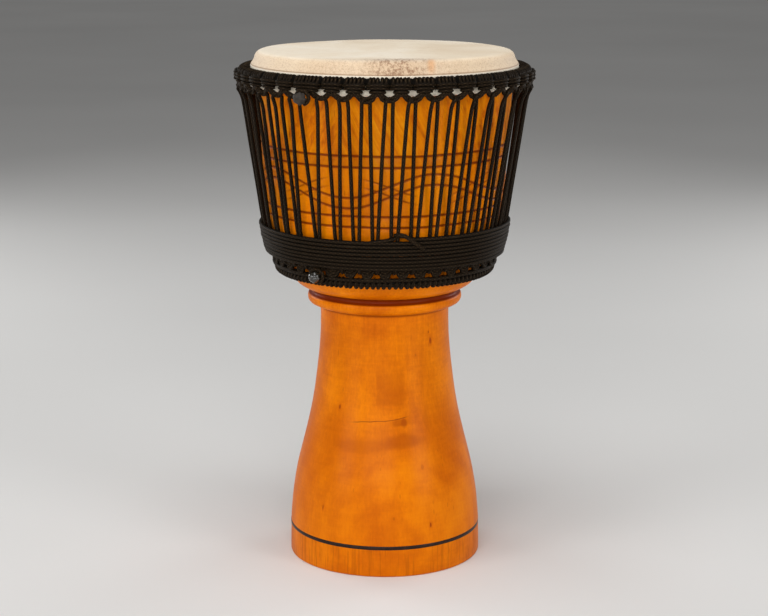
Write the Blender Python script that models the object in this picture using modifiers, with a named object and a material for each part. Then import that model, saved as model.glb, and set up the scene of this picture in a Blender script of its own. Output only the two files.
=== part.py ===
"""Rope-tuned goblet drum: a carved wooden shell, a skin head and laced rope tuning.

Metres, +Z up. The origin is the centre of the foot's underside, and the front faces -Y.
Every outline is a list of (radius, height) points in the plane of the drum's axis.
"""

import math

import bmesh
import bpy
from mathutils import Vector

# Driving dimensions
HEIGHT = 0.640              # foot to playing surface
SKIN = 0.0015               # thickness of the drumhead
ROPE = 0.0046               # diameter of every rope
GAP = 0.0003                # between pieces that touch
TURN_STEPS = 36             # sides of a turned piece, a multiple of four
SECTION_SIDES = 6           # sides of a ring's round section
ROPE_BEVEL = 1              # bevel resolution of a rope: six sides

# Bearing edge: the wood's rounded rim, which the skin is pulled over
EDGE_ROUND = 0.0080
EDGE_CENTRE = (0.1505, HEIGHT - SKIN - GAP - EDGE_ROUND)
EDGE_ANGLES = (90, 60, 30, 0)

# Carved shell below the rim, outside and then inside, from the top down
BOWL = [(0.1570, 0.5900), (0.1530, 0.5300), (0.1480, 0.4520), (0.1457, 0.4270), (0.1358, 0.4050),
        (0.1256, 0.3823), (0.1190, 0.3670), (0.1110, 0.3540), (0.0990, 0.3466)]
RECESS = [(0.0925, 0.3445), (0.0918, 0.3405)]
COLLAR = [(0.0948, 0.3386), (0.0966, 0.3330), (0.0955, 0.3282), (0.0915, 0.3252), (0.0825, 0.3230)]
FOOT = [(0.0806, 0.3210), (0.0811, 0.2840), (0.0858, 0.2360), (0.0940, 0.1840), (0.1098, 0.1200),
        (0.1176, 0.0760)]
FOOT_BASE = [(0.1208, 0.0330), (0.1210, 0.0008), (0.1202, 0.0000)]
BORE = [(0.1060, 0.0000), (0.1010, 0.0700), (0.0760, 0.1700), (0.0560, 0.2500), (0.0520, 0.3250),
        (0.0980, 0.3850), (0.1230, 0.4200), (0.1330, 0.4700), (0.1410, 0.6050), (0.1440, 0.6300)]

# Inlay band let into a groove round the foot
INLAY_TOP = 0.0392
INLAY_BOTTOM = 0.0348
INLAY_DEPTH = 0.0020
INLAY_RADIUS = 0.1204

# Rings: (radius, height) of the rod's centre, and the rod's own radius
CROWN_RING = (0.1734, 0.6150)
FLESH_HOOP = (0.1668, 0.6045)
BOTTOM_RING = (0.1310, 0.3725)
CROWN_ROD = 0.0030
HOOP_ROD = 0.0043           # steel hoop with the skin folded round it
BOTTOM_ROD = 0.0025

# Skin below the edge: it swells over the hoop, then passes down inside it
SKIRT = [(0.1648, 0.6240), (0.1648, 0.6190), (0.1620, 0.6140), (0.1620, 0.5985)]

# Cradle ropes: loops round the rings, one of them wider where the cord is tied off
LOOP_COUNT = 41
CLOSING_ANGLE = math.radians(-30.4)
CLOSING_GAP = math.radians(12.1)
LOOP_STEP = (2 * math.pi - CLOSING_GAP) / (LOOP_COUNT - 1)
LOWER_SHIFT = math.radians(-1.6)    # lower loops, from midway between the upper ones
CROWN_WRAP = 0.0043             # thickness of the rope round the crown ring
BOTTOM_WRAP = 0.0037
CROWN_OUTER = 0.1858
BAR_TOP = 0.6155
BAR_BOTTOM = 0.6037
BAR_DEPTH = 0.0072
UPPER_LOOP = (0.1776, 0.5957)   # lowest point of an upper loop's centre line
UPPER_JOIN = (0.1815, 0.6080)   # where it runs into the cradle
LOWER_LOOP = (0.1355, 0.3860)   # highest point of a lower loop's centre line
LOWER_JOIN = (0.1330, 0.3771)
UPPER_FLAT = 0.0030             # half of a loop's level stretch
LOWER_FLAT = 0.0025

# Tuning rope: it crosses through each loop, and both legs touch two heights on the way
CROSSING = 0.0051               # from the loop's centre line to the rope that hooks it
UPPER_ASIDE = 0.0051            # how far the two legs stand in and out from the loop
LOWER_ASIDE = 0.0055
UPPER_SPREAD = 0.0045           # how far they stand to its sides
LOWER_SPREAD = 0.0015
INNER_LEG = [(0.1716, 0.5770), (0.1490, 0.4285)]
OUTER_LEG = [(0.1738, 0.5770), (0.1505, 0.4285)]

# Winding: the spare rope, laid in turns round the legs
WINDING_OUTER = [(0.1570, 0.4275), (0.1553, 0.4150), (0.1520, 0.4005), (0.1485, 0.3880)]
WINDING_THICKNESS = 0.0034

# Knots: angle round the drum, radius and height of the centre
UPPER_KNOT = (math.radians(-30.4), 0.1936, 0.5980)
LOWER_KNOT = (math.radians(-34.0), 0.1500, 0.3795)
UPPER_KNOT_RADIUS = 0.0080
LOWER_KNOT_RADIUS = 0.0075
KNOT_SHAPE = (1.0, 0.85, 0.9)   # across, towards the drum, upright

# Tucked end: degrees round the drum and height of the points it passes
TAIL = [(2.0, 0.4265), (6.0, 0.4262), (10.0, 0.4240), (14.0, 0.4195), (17.5, 0.4150)]


def clear_scene():
    """Start from an empty scene."""
    for item in list(bpy.data.objects):
        bpy.data.objects.remove(item, do_unlink=True)


def new_collection(name):
    collection = bpy.data.collections.new(name)
    bpy.context.scene.collection.children.link(collection)
    return collection


def new_material(name, color, roughness, metallic=0.0):
    material = bpy.data.materials.new(name)
    material.use_nodes = True
    shader = material.node_tree.nodes["Principled BSDF"]
    shader.inputs["Base Color"].default_value = (*color, 1.0)
    shader.inputs["Roughness"].default_value = roughness
    shader.inputs["Metallic"].default_value = metallic
    return material


def ring_point(radius, angle, height):
    """A point at an angle round the drum, counted from the front (-Y) towards +X."""
    return Vector((radius * math.sin(angle), -radius * math.cos(angle), height))


def arc(centre, radius, degrees):
    """Points on a circle in the plane of the axis; 0 degrees is outwards, 90 is up."""
    return [(centre[0] + radius * math.cos(math.radians(d)), centre[1] + radius * math.sin(math.radians(d)))
            for d in degrees]


def circle(centre, radius):
    """A ring's section, running down its outer side."""
    return arc(centre, radius, [-360 * n / SECTION_SIDES for n in range(SECTION_SIDES)])


def shifted(outline, inwards):
    return [(radius - inwards, height) for radius, height in outline]


def place(name, data, material, collection):
    piece = bpy.data.objects.new(name, data)
    collection.objects.link(piece)
    if material:
        data.materials.append(material)
    return piece


def turned(name, outline, material, collection, closed=True):
    """Turn an outline round Z. It runs down its outer side, top to bottom."""
    mesh = bpy.data.meshes.new(name)
    edges = [(n, n + 1) for n in range(len(outline) - 1)]
    if closed:
        edges.append((len(outline) - 1, 0))
    mesh.from_pydata([(radius, 0.0, height) for radius, height in outline], edges, [])
    piece = place(name, mesh, material, collection)
    screw = piece.modifiers.new("Turn", "SCREW")
    screw.axis = "Z"
    screw.steps = TURN_STEPS
    screw.render_steps = TURN_STEPS
    screw.use_merge_vertices = True
    screw.merge_threshold = 0.00001
    screw.use_smooth_shade = True
    return piece


def rope(name, points, material, collection, closed=False):
    """A round rope along a list of points."""
    curve = bpy.data.curves.new(name, "CURVE")
    curve.dimensions = "3D"
    curve.bevel_depth = ROPE / 2
    curve.bevel_resolution = ROPE_BEVEL
    curve.render_resolution_u = 0
    curve.use_fill_caps = True
    spline = curve.splines.new("POLY")
    spline.points.add(len(points) - 1)
    for target, point in zip(spline.points, points):
        target.co = (*point, 1.0)
    spline.use_cyclic_u = closed
    spline.use_smooth = True
    return place(name, curve, material, collection)


def as_mesh(piece, collection):
    """Replace a curve object by its own mesh, with the caps welded on."""
    evaluated = piece.evaluated_get(bpy.context.evaluated_depsgraph_get())
    mesh = bpy.data.meshes.new_from_object(evaluated)
    welder = bmesh.new()
    welder.from_mesh(mesh)
    bmesh.ops.remove_doubles(welder, verts=welder.verts, dist=0.00001)
    welder.to_mesh(mesh)
    welder.free()
    name = piece.name
    matrix = piece.matrix_world.copy()
    bpy.data.objects.remove(piece, do_unlink=True)
    result = place(name, mesh, None, collection)
    result.matrix_world = matrix
    return result


def join_on(piece, addition):
    """Union a guide piece onto a turned one."""
    addition.hide_render = True
    addition.display_type = "WIRE"
    union = piece.modifiers.new("Loops", "BOOLEAN")
    union.operation = "UNION"
    union.solver = "EXACT"
    union.object = addition


def loop_angle(index):
    """Centre of an upper loop; the numbers run on past a full turn."""
    turns, place_in_turn = divmod(index, LOOP_COUNT)
    return CLOSING_ANGLE + CLOSING_GAP / 2 + place_in_turn * LOOP_STEP + turns * 2 * math.pi


def between_loops(index):
    """Centre of the lower loop that follows an upper one."""
    return (loop_angle(index) + loop_angle(index + 1)) / 2 + LOWER_SHIFT


def loop_chain(centre_of, loop, join, flat):
    """A wave of loops: a level stretch at each loop's end and one point where it joins the cradle."""
    points = []
    for index in range(LOOP_COUNT):
        middle = centre_of(index)
        points.append(ring_point(loop[0], middle - flat / loop[0], loop[1]))
        points.append(ring_point(loop[0], middle + flat / loop[0], loop[1]))
        points.append(ring_point(join[0], (middle + centre_of(index + 1)) / 2, join[1]))
    return points


def hook(loop, away, aside):
    """The two ends, inner and outer, of the stretch of rope that crosses through a loop."""
    lean = Vector((UPPER_LOOP[0] - LOWER_LOOP[0], UPPER_LOOP[1] - LOWER_LOOP[1])).normalized()
    across = Vector((lean.y, -lean.x))
    middle = Vector(loop) + lean * away
    return middle - across * aside, middle + across * aside


def leg_point(spot, low_angle, high_angle):
    """A point of a leg, at the angle it has reached between its two ends."""
    radius, height = spot
    rise = (height - LOWER_LOOP[1]) / (UPPER_LOOP[1] - LOWER_LOOP[1])
    return ring_point(radius, low_angle + (high_angle - low_angle) * rise, height)


def tuning_rope_route():
    """One endless zigzag: down an inner leg to a lower loop and up an outer leg to the next upper loop."""
    top_inner, top_outer = hook(UPPER_LOOP, CROSSING, UPPER_ASIDE)
    low_inner, low_outer = hook(LOWER_LOOP, -CROSSING, LOWER_ASIDE)
    points = []
    for index in range(LOOP_COUNT):
        upper = loop_angle(index)
        lower = between_loops(index)
        following = loop_angle(index + 1)
        down_start = upper + UPPER_SPREAD / top_inner[0]
        down_end = lower - LOWER_SPREAD / low_inner[0]
        up_start = lower + LOWER_SPREAD / low_outer[0]
        up_end = following - UPPER_SPREAD / top_outer[0]
        points.append(ring_point(top_outer[0], upper - UPPER_SPREAD / top_outer[0], top_outer[1]))
        points.append(ring_point(top_inner[0], down_start, top_inner[1]))
        points += [leg_point(spot, down_end, down_start) for spot in INNER_LEG]
        points.append(ring_point(low_inner[0], down_end, low_inner[1]))
        points.append(ring_point(low_outer[0], up_start, low_outer[1]))
        points += [leg_point(spot, up_start, up_end) for spot in reversed(OUTER_LEG)]
    return points


def winding_radius(height):
    """Outer radius of the winding at a height."""
    for (upper_radius, upper), (lower_radius, lower) in zip(WINDING_OUTER, WINDING_OUTER[1:]):
        if height >= lower:
            return lower_radius + (upper_radius - lower_radius) * (height - lower) / (upper - lower)
    return WINDING_OUTER[-1][0]


def shell_outline():
    groove = [(INLAY_RADIUS, INLAY_TOP + GAP),
              (INLAY_RADIUS - INLAY_DEPTH, INLAY_TOP + GAP),
              (INLAY_RADIUS - INLAY_DEPTH, INLAY_BOTTOM - GAP),
              (INLAY_RADIUS, INLAY_BOTTOM - GAP)]
    return arc(EDGE_CENTRE, EDGE_ROUND, EDGE_ANGLES) + BOWL + RECESS + COLLAR + FOOT + groove + FOOT_BASE + BORE


def inlay_outline():
    inner = INLAY_RADIUS - INLAY_DEPTH + GAP
    return [(INLAY_RADIUS, INLAY_TOP), (INLAY_RADIUS, INLAY_BOTTOM), (inner, INLAY_BOTTOM), (inner, INLAY_TOP)]


def drumhead_outline():
    """The skin from the axis out over the edge and down inside the hoop, and back underneath."""
    outside = arc(EDGE_CENTRE, EDGE_ROUND + GAP + SKIN, EDGE_ANGLES)
    inside = arc(EDGE_CENTRE, EDGE_ROUND + GAP, EDGE_ANGLES)
    top = [(0.0, HEIGHT)] + outside + SKIRT
    underneath = shifted(SKIRT, SKIN)[::-1] + inside[::-1] + [(0.0, HEIGHT - SKIN)]
    return top + underneath


def upper_cradle_outline():
    """Rope wrapped round the crown ring, open towards the hoop, with the front bars below it."""
    inner = CROWN_ROD + GAP
    outer = inner + CROWN_WRAP
    over = arc(CROWN_RING, outer, (180, 120, 60))
    bars = [(CROWN_OUTER, BAR_TOP), (CROWN_OUTER, BAR_BOTTOM), (CROWN_OUTER - BAR_DEPTH, BAR_BOTTOM)]
    under = arc(CROWN_RING, outer, (-60,))
    inside = arc(CROWN_RING, inner, (-60, 0, 60, 120, 180))
    return over + bars + under + inside


def lower_cradle_outline():
    """Rope wrapped round the bottom ring, open towards the wood."""
    inner = BOTTOM_ROD + GAP
    outer = inner + BOTTOM_WRAP
    over = arc(BOTTOM_RING, outer, (120, 60, 0, -60, -120))
    inside = arc(BOTTOM_RING, inner, (-120, -60, 0, 60, 120))
    return over + inside


def winding_outline():
    return WINDING_OUTER + shifted(WINDING_OUTER, WINDING_THICKNESS)[::-1]


def knot(name, spot, radius, material, collection):
    """A melted rope end, a little flattened towards the drum."""
    mesh = bpy.data.meshes.new(name)
    ball = bmesh.new()
    bmesh.ops.create_uvsphere(ball, u_segments=12, v_segments=8, radius=radius)
    bmesh.ops.scale(ball, verts=ball.verts, vec=KNOT_SHAPE)
    ball.to_mesh(mesh)
    ball.free()
    mesh.shade_smooth()
    piece = place(name, mesh, material, collection)
    angle, distance, height = spot
    piece.location = ring_point(distance, angle, height)
    piece.rotation_euler = (0.0, 0.0, angle)
    return piece


def hang_from(pieces, joint_empty):
    """Parent the pieces to an empty without moving them."""
    bpy.context.view_layer.update()
    for piece in pieces:
        piece.parent = joint_empty
        piece.matrix_parent_inverse = joint_empty.matrix_world.inverted()


def build():
    clear_scene()
    drum = new_collection("goblet_drum")
    guides = new_collection("guides")

    wood = new_material("lacquered_wood", (0.58, 0.22, 0.03), 0.35)
    dark_inlay = new_material("dark_inlay", (0.02, 0.012, 0.008), 0.5)
    skin = new_material("goat_skin", (0.72, 0.62, 0.48), 0.7)
    steel = new_material("ring_steel", (0.35, 0.35, 0.36), 0.4, 1.0)
    black_rope = new_material("black_rope", (0.018, 0.015, 0.012), 0.8)
    melted_rope = new_material("melted_rope", (0.01, 0.01, 0.01), 0.25)

    turned("shell", shell_outline(), wood, drum)
    turned("foot_inlay_band", inlay_outline(), dark_inlay, drum)
    turned("drumhead", drumhead_outline(), skin, drum, closed=False)
    flesh_hoop = turned("flesh_hoop", circle(FLESH_HOOP, HOOP_ROD), skin, drum)
    crown_ring = turned("crown_ring", circle(CROWN_RING, CROWN_ROD), steel, drum)
    turned("bottom_ring", circle(BOTTOM_RING, BOTTOM_ROD), steel, drum)

    upper_cradle = turned("upper_cradle_rope", upper_cradle_outline(), black_rope, drum)
    upper_chain = loop_chain(loop_angle, UPPER_LOOP, UPPER_JOIN, UPPER_FLAT)
    join_on(upper_cradle, as_mesh(rope("upper_loops", upper_chain, None, guides, closed=True), guides))

    lower_cradle = turned("lower_cradle_rope", lower_cradle_outline(), black_rope, drum)
    lower_chain = loop_chain(between_loops, LOWER_LOOP, LOWER_JOIN, LOWER_FLAT)
    join_on(lower_cradle, as_mesh(rope("lower_loops", lower_chain, None, guides, closed=True), guides))

    rope("tuning_rope", tuning_rope_route(), black_rope, drum, closed=True)
    turned("rope_winding", winding_outline(), black_rope, drum)
    on_winding = ROPE / 2 + 2 * GAP
    tail_points = [ring_point(winding_radius(height) + on_winding, math.radians(degrees), height)
                   for degrees, height in TAIL]
    rope("winding_tail", tail_points, black_rope, drum)

    upper_knot = knot("upper_cradle_knot", UPPER_KNOT, UPPER_KNOT_RADIUS, melted_rope, drum)
    knot("lower_cradle_knot", LOWER_KNOT, LOWER_KNOT_RADIUS, melted_rope, drum)

    crown_slide = bpy.data.objects.new("crown_slide", None)
    crown_slide.location = (0.0, 0.0, CROWN_RING[1])
    drum.objects.link(crown_slide)
    hang_from([flesh_hoop, crown_ring, upper_cradle, upper_knot], crown_slide)


build()
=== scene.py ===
import math

import bpy
import numpy as np
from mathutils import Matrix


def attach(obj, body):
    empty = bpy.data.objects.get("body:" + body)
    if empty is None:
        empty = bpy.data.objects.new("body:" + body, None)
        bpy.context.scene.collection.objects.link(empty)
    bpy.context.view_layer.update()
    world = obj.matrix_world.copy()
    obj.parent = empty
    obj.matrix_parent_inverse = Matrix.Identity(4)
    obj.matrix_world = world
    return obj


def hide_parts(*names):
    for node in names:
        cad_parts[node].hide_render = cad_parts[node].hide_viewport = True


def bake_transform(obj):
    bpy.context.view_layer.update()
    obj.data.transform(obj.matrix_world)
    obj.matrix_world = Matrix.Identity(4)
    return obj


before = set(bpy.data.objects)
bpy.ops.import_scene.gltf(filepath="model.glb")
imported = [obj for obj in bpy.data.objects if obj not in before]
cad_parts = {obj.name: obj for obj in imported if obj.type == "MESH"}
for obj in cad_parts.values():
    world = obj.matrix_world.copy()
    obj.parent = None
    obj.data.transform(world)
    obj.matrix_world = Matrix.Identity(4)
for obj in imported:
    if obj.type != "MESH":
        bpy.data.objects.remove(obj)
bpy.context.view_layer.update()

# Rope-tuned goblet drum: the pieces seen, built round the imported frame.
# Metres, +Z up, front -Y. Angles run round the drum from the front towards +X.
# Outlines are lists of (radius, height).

RANDOM = np.random.default_rng(41)

# ---- dimensions, as in the CAD
HEIGHT = 0.640
ROPE = 0.0046
SIDES = 10                  # of a rope's section
DOME = 0.45                 # height of a rope end, as a share of its radius
FLANK_START = 0.40          # where the painted shade on a rope's flanks begins, from its middle to its side
FLANK_FADE = 0.45
SKIN = 0.0013
SKIN_GAP = 0.0003           # between the skin and the wood
LOOPS = 41
CLOSING_ANGLE = math.radians(-30.4)     # of the wide gap, where the crown's cord ends in a knot
CLOSING_GAP = math.radians(12.1)
LOOP_STEP = (2 * math.pi - CLOSING_GAP) / (LOOPS - 1)
LOWER_SHIFT = math.radians(-1.6)
EDGE_CENTRE = (0.1505, 0.6302)
EDGE_ROUND = 0.0080
CROWN_RING = (0.1734, 0.6150)
CROWN_ROD = 0.0030
FLESH_HOOP = (0.1668, 0.6045)
HOOP_ROD = 0.0041
HOOP_TALL = 1.4             # the skin folded round the hoop makes it taller than wide
BOTTOM_RING = (0.1310, 0.3725)
BOTTOM_ROD = 0.0025

# The wood's outside, from the rim to the base
BOWL = [(0.1585, 0.6302), (0.1582, 0.6200), (0.1570, 0.5900), (0.1550, 0.5600), (0.1530, 0.5300),
        (0.1507, 0.4950), (0.1480, 0.4520), (0.1457, 0.4270), (0.1358, 0.4050), (0.1256, 0.3823),
        (0.1190, 0.3670), (0.1110, 0.3540), (0.1045, 0.3490), (0.0998, 0.3466), (0.0988, 0.3460),
        (0.0960, 0.3454)]
BOWL_SIDE = 8               # how many of those points lie on the bowl's long side
RECESS = [(0.0936, 0.3440), (0.0921, 0.3420), (0.0921, 0.3400)]
COLLAR = [(0.0938, 0.3386), (0.0956, 0.3372), (0.0965, 0.3345), (0.0964, 0.3310), (0.0952, 0.3280),
          (0.0925, 0.3258), (0.0880, 0.3240), (0.0832, 0.3230)]
NECK_LINE = [(0.0818, 0.3226), (0.0811, 0.3216)]
FOOT = [(0.0808, 0.3195), (0.0806, 0.3100), (0.0807, 0.2980), (0.0811, 0.2840), (0.0830, 0.2600),
        (0.0858, 0.2360), (0.0893, 0.2100), (0.0940, 0.1840), (0.1020, 0.1500), (0.1098, 0.1200),
        (0.1143, 0.0980), (0.1176, 0.0760), (0.1196, 0.0550), (0.1205, 0.0420)]
BASE = [(0.1207, 0.0330), (0.1209, 0.0160), (0.1210, 0.0016), (0.1206, 0.0005), (0.1200, 0.0000)]
BORE = [(0.1060, 0.0000), (0.1056, 0.0010), (0.1010, 0.0700), (0.0760, 0.1700), (0.0560, 0.2500),
        (0.0520, 0.3250), (0.0980, 0.3850), (0.1230, 0.4200), (0.1330, 0.4700), (0.1410, 0.6050),
        (0.1440, 0.6300), (0.1470, 0.6375)]
INLAY_TOP = 0.0392
INLAY_BOTTOM = 0.0348
INLAY_DEPTH = 0.0020

# Darker bands in the wood: painted shade with pooled lacquer in the recess under the bowl, painted shadow
# under the collar, and a darker band between the upper two plain lines: (lowest, highest, widest radius,
# strength)
SHADE_AND_STAINS = [(0.3375, 0.3462, 0.0975, 0.95), (0.3195, 0.3235, 0.0840, 0.55), (0.5145, 0.5280, 0.2000, 0.16)]

# Carving on the bowl: four plain lines, and two waves of paired lines that cross between them
PLAIN_LINES = (0.5280, 0.5145, 0.4560, 0.4430)
CARVED_ZONE = (0.54, 0.43)
CARVED_RADIUS = 0.152
WAVE_MIDDLE = 0.4853
WAVE_SWING = 0.0136
WAVE_COUNT = 4
WAVE_MIDDLE_ANGLE = math.radians(2.3)     # between a trough and the crest to its right
WAVE_CROWDING = 0.089       # how much shorter the waves are there than all round
WAVE_PAIR = 0.0063          # half of the distance between the two lines of a pair
WAVE_PAIR_FINE = 0.0050
LINE_HALF = 0.0020          # half of a line's width
FINE_HALF = 0.0014
LINE_DEPTH = 0.0013

# Rings of the shell's mesh: every FINE_STEP where the waves are, and close together at a plain line
FINE_ZONE = (0.5080, 0.4625)
FINE_MARGIN = 0.0012
FINE_STEP = 0.00115
COARSE_STEP = 0.009
LINE_CLEAR = 0.0032
LINE_ROWS = (0.0, 0.0004, 0.0009, 0.0013, 0.0019, 0.0026)
COARSE_COLUMNS = 270
FINE_FACTOR = 4

# The skin below the bearing edge, down to its end inside the hoop
SKIRT = [(0.1614, 0.6280), (0.1634, 0.6252), (0.1647, 0.6222), (0.1646, 0.6188), (0.1634, 0.6150),
         (0.1623, 0.6110), (0.1619, 0.6060), (0.1619, 0.5990)]

# Crown: each segment's level stretches, (how much shorter than the segment, height)
BAR_FACE = 0.1834
CROWN_BARS = [(0.0032, 0.6142), (0.0038, 0.6105), (0.0066, 0.6067)]
BAR_DROOP = 0.0008
WIDE_GAP = 0.016            # half the arc between two loops, where there is room for two more turns
DARK_CORE = (0.1774, 0.6064)        # (radius, height) of a hidden cord behind the level stretches, darkened with painted shade
DARK_BRIDGE = (0.1768, 0.6093)      # and of one over each loop
CREVICE_SHADE = 0.9               # how much painted shade darkens such a hidden cord
TUCKS = [(0.0028, 0.1764, 0.5980), (0.0054, 0.1780, 0.5999), (0.0090, 0.1796, 0.6026),
         (0.0120, 0.1800, 0.6042)]      # (distance, radius, height)

# Lacing: half the distance between a loop's two legs above, at the winding and below
TOP_APART = 0.0046
BAND_APART = 0.0036
LOW_APART = 0.0019
LEG_TOP = 0.5930
LEG_BOTTOM = 0.4290
INNER_LEG = [(0.1727, 0.5860), (0.1712, 0.5740), (0.1640, 0.5260), (0.1564, 0.4760), (0.1493, 0.4290)]
OUTER_LEG = [(0.1780, 0.5895), (0.1742, 0.5770), (0.1664, 0.5260), (0.1587, 0.4760), (0.1514, 0.4290)]
UPPER_TURN = [(-0.92, 0.1812, 0.5952), (-0.50, 0.1804, 0.5976), (0.0, 0.1782, 0.5984),
              (0.50, 0.1756, 0.5976), (0.92, 0.1740, 0.5950)]    # (share of TOP_APART, radius, height)

# Winding: its turns from the bottom up, then (radius, degrees, height) of its lead and its tucked end
WINDING_OUTER = [(0.1580, 0.4345), (0.1570, 0.4275), (0.1553, 0.4150), (0.1520, 0.4005),
                 (0.1485, 0.3880)]
WINDING_END = math.radians(13.0)
TURNS = 8.7
TOP_TURN = 0.4300
TURN_STEPS = 240
LEAD = [(0.1556, 10.5, 0.4322), (0.1540, 8.6, 0.4338), (0.1490, 6.2, 0.4326), (0.1530, 3.6, 0.4306),
        (0.1553, 0.5, 0.4292), (0.1556, -4.0, 0.4276), (0.1546, -8.5, 0.4252)]
TUCKED_END = [(0.1500, 4.6, 0.4345), (0.1560, 6.4, 0.4362), (0.1580, 8.6, 0.4352), (0.1582, 11.0, 0.4305),
              (0.1588, 13.2, 0.4258), (0.1578, 15.4, 0.4215), (0.1545, 17.4, 0.4180)]

# Lower cradle: two level stretches at each segment, (height, radius, how much shorter, lean)
LOWER_FACE = 0.1370
LOWER_BARS = [(0.3885, 0.1388, 0.0056, 0.0004), (0.3846, 0.1384, 0.0066, 0.0006)]

# Knots: (radius, height, size) of each ball and of the cord's last turn over it
LOWER_KNOT_ANGLE = math.radians(-34.0)
LOWER_KNOT = (0.1500, 0.3795, 0.0076)
LOWER_KNOT_TURN = (0.1468, 0.3803, 0.0090)
UPPER_KNOT = (0.1934, 0.5974, 0.0077)       # at CLOSING_ANGLE
UPPER_KNOT_TURN = (0.1892, 0.5978, 0.0088)

# ---- camera and lamps
CAMERA_AT = (-0.0008, -2.394, 0.840)
CAMERA_DOWN = math.radians(12.38)
CAMERA_LENS = 90.92
FLOOR_SIDE = 40.0
FLOOR_DROP = 0.0003         # below the foot, so that the two faces don't meet
WORLD_STRENGTH = 0.20
DRUM_MIDDLE = (0.0, 0.0, 0.33)
LAMPS = [("front_box", (-0.5, -3.4, 1.5), DRUM_MIDDLE, (2.6, 2.0), 58.0),
         ("left_front_box", (-2.5, -1.9, 1.1), DRUM_MIDDLE, (1.2, 1.8), 26.0),
         ("right_front_box", (2.4, -2.0, 1.1), DRUM_MIDDLE, (1.2, 1.8), 30.0),
         ("left_strip", (-2.2, 1.8, 1.0), (-0.3, 0.2, 0.0), (1.2, 1.2), 20.0),
         ("right_strip", (2.2, 1.8, 1.0), (0.3, 0.2, 0.0), (1.2, 1.2), 20.0),
         ("top_box", (-0.2, -0.6, 2.5), (0.0, 0.0, 0.60), (1.2, 1.2), 19.0)]


# ---- points and meshes

def polar(radius, angle, height):
    """Points round the drum; radius, angle and height may be arrays."""
    radius, angle, height = np.broadcast_arrays(np.asarray(radius, float), angle, height)
    return np.stack([radius * np.sin(angle), -radius * np.cos(angle), height], axis=-1)


def side_step(centre, radius, distance):
    """The angle that is a distance round the drum from a centre."""
    return centre + np.asarray(distance) / radius


def spot(centre, distance, radius, height, arc_radius=None):
    """A point beside a centre angle; the distance is measured at arc_radius, or at its own radius."""
    return polar(radius, side_step(centre, arc_radius or radius, distance), height)


def spots(rows, arc_radius=None):
    """Points given as (centre angle, distance, radius, height)."""
    return [spot(*row, arc_radius) for row in rows]


def round_angles(columns):
    return np.arange(columns) * 2 * math.pi / columns


def edge_arc(radius, degrees):
    """Outline points round the bearing edge's centre: 90 is straight up, 0 straight out."""
    return [(EDGE_CENTRE[0] + radius * math.cos(math.radians(d)),
             EDGE_CENTRE[1] + radius * math.sin(math.radians(d))) for d in degrees]


def loop_angle(index):
    """Centre of an upper loop; the numbers run on past a full turn."""
    turns, place = divmod(index, LOOPS)
    return CLOSING_ANGLE + CLOSING_GAP / 2 + place * LOOP_STEP + turns * 2 * math.pi


def between_loops(index):
    """Centre of the lower loop that follows an upper one."""
    return (loop_angle(index) + loop_angle(index + 1)) / 2 + LOWER_SHIFT


def segments(loop_centre):
    """(start, middle, end) angles of the stretch between each loop and the next."""
    for index in range(LOOPS):
        start, end = loop_centre(index), loop_centre(index + 1)
        yield start, (start + end) / 2, end


def outline_radius(outline, height):
    """Radius of an outline that runs downwards, at a height."""
    radii = [r for r, z in outline][::-1]
    heights = [z for r, z in outline][::-1]
    return np.interp(height, heights, radii)


def smooth_path(points, spacing, closed=False):
    """A Catmull-Rom curve through points, as points at even steps."""
    points = np.asarray(points, float)
    if closed:
        padded = np.vstack([points[-1:], points, points[:2]])
    else:
        padded = np.vstack([2 * points[0] - points[1], points, 2 * points[-1] - points[-2]])
    t = np.linspace(0, 1, 12, endpoint=False)[:, None]
    parts = []
    for a, b, c, d in zip(padded, padded[1:], padded[2:], padded[3:]):
        parts.append(0.5 * (2 * b + (c - a) * t + (2 * a - 5 * b + 4 * c - d) * t ** 2
                            + (3 * b - a - 3 * c + d) * t ** 3))
    curve = np.vstack(parts + [padded[-2:-1]])
    along = np.concatenate([[0], np.cumsum(np.linalg.norm(np.diff(curve, axis=0), axis=1))])
    steps = max(3, int(round(along[-1] / spacing)))
    wanted = np.linspace(0, along[-1], steps + 1)
    if closed:
        wanted = wanted[:-1]
    return np.stack([np.interp(wanted, along, curve[:, n]) for n in range(3)], axis=1)


def smooth_outline(outline, step):
    """An outline rounded through its points, in the plane of the axis."""
    path = smooth_path([(r, 0.0, z) for r, z in outline], step)
    return [(r, z) for r, unused, z in path]


def unit(vectors):
    return vectors / np.maximum(np.linalg.norm(vectors, axis=-1, keepdims=True), 1e-12)


def jitter(size, count=None):
    """A random stray, or several, of a typical size."""
    return RANDOM.normal(0, size, count)


def gentle_noise(count, step, size, closed=False):
    """Slow random wander: count values, with a new random target every step values."""
    knots = max(4, count // step)
    targets = jitter(size, knots)
    if closed:
        targets[-1] = targets[0]
    return np.interp(np.linspace(0, knots - 1, count), np.arange(knots), targets)


def mesh_piece(name, vertices, faces, material, marks=None):
    """A smooth mesh object. marks is {attribute name: one value for each point}."""
    mesh = bpy.data.meshes.new(name)
    mesh.from_pydata(np.asarray(vertices).tolist(), [], faces)
    mesh.shade_smooth()
    mesh.materials.append(material)
    for mark, values in (marks or {}).items():
        attribute = mesh.attributes.new(mark, "FLOAT", "POINT")
        attribute.data.foreach_set("value", np.asarray(values, np.float32))
    made = bpy.data.objects.new(name, mesh)
    bpy.context.scene.collection.objects.link(made)
    return made


def quads(upper, lower, columns):
    """Faces between two rings, given by their first points, seen from outside."""
    return [(upper + n, lower + n, lower + (n + 1) % columns, upper + (n + 1) % columns)
            for n in range(columns)]


def ring_faces(rows, columns, closed_rows=False):
    """Faces of a whole stack of rings, listed from the top down."""
    faces = []
    for row in range(rows if closed_rows else rows - 1):
        faces += quads(row * columns, (row + 1) % rows * columns, columns)
    return faces


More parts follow.
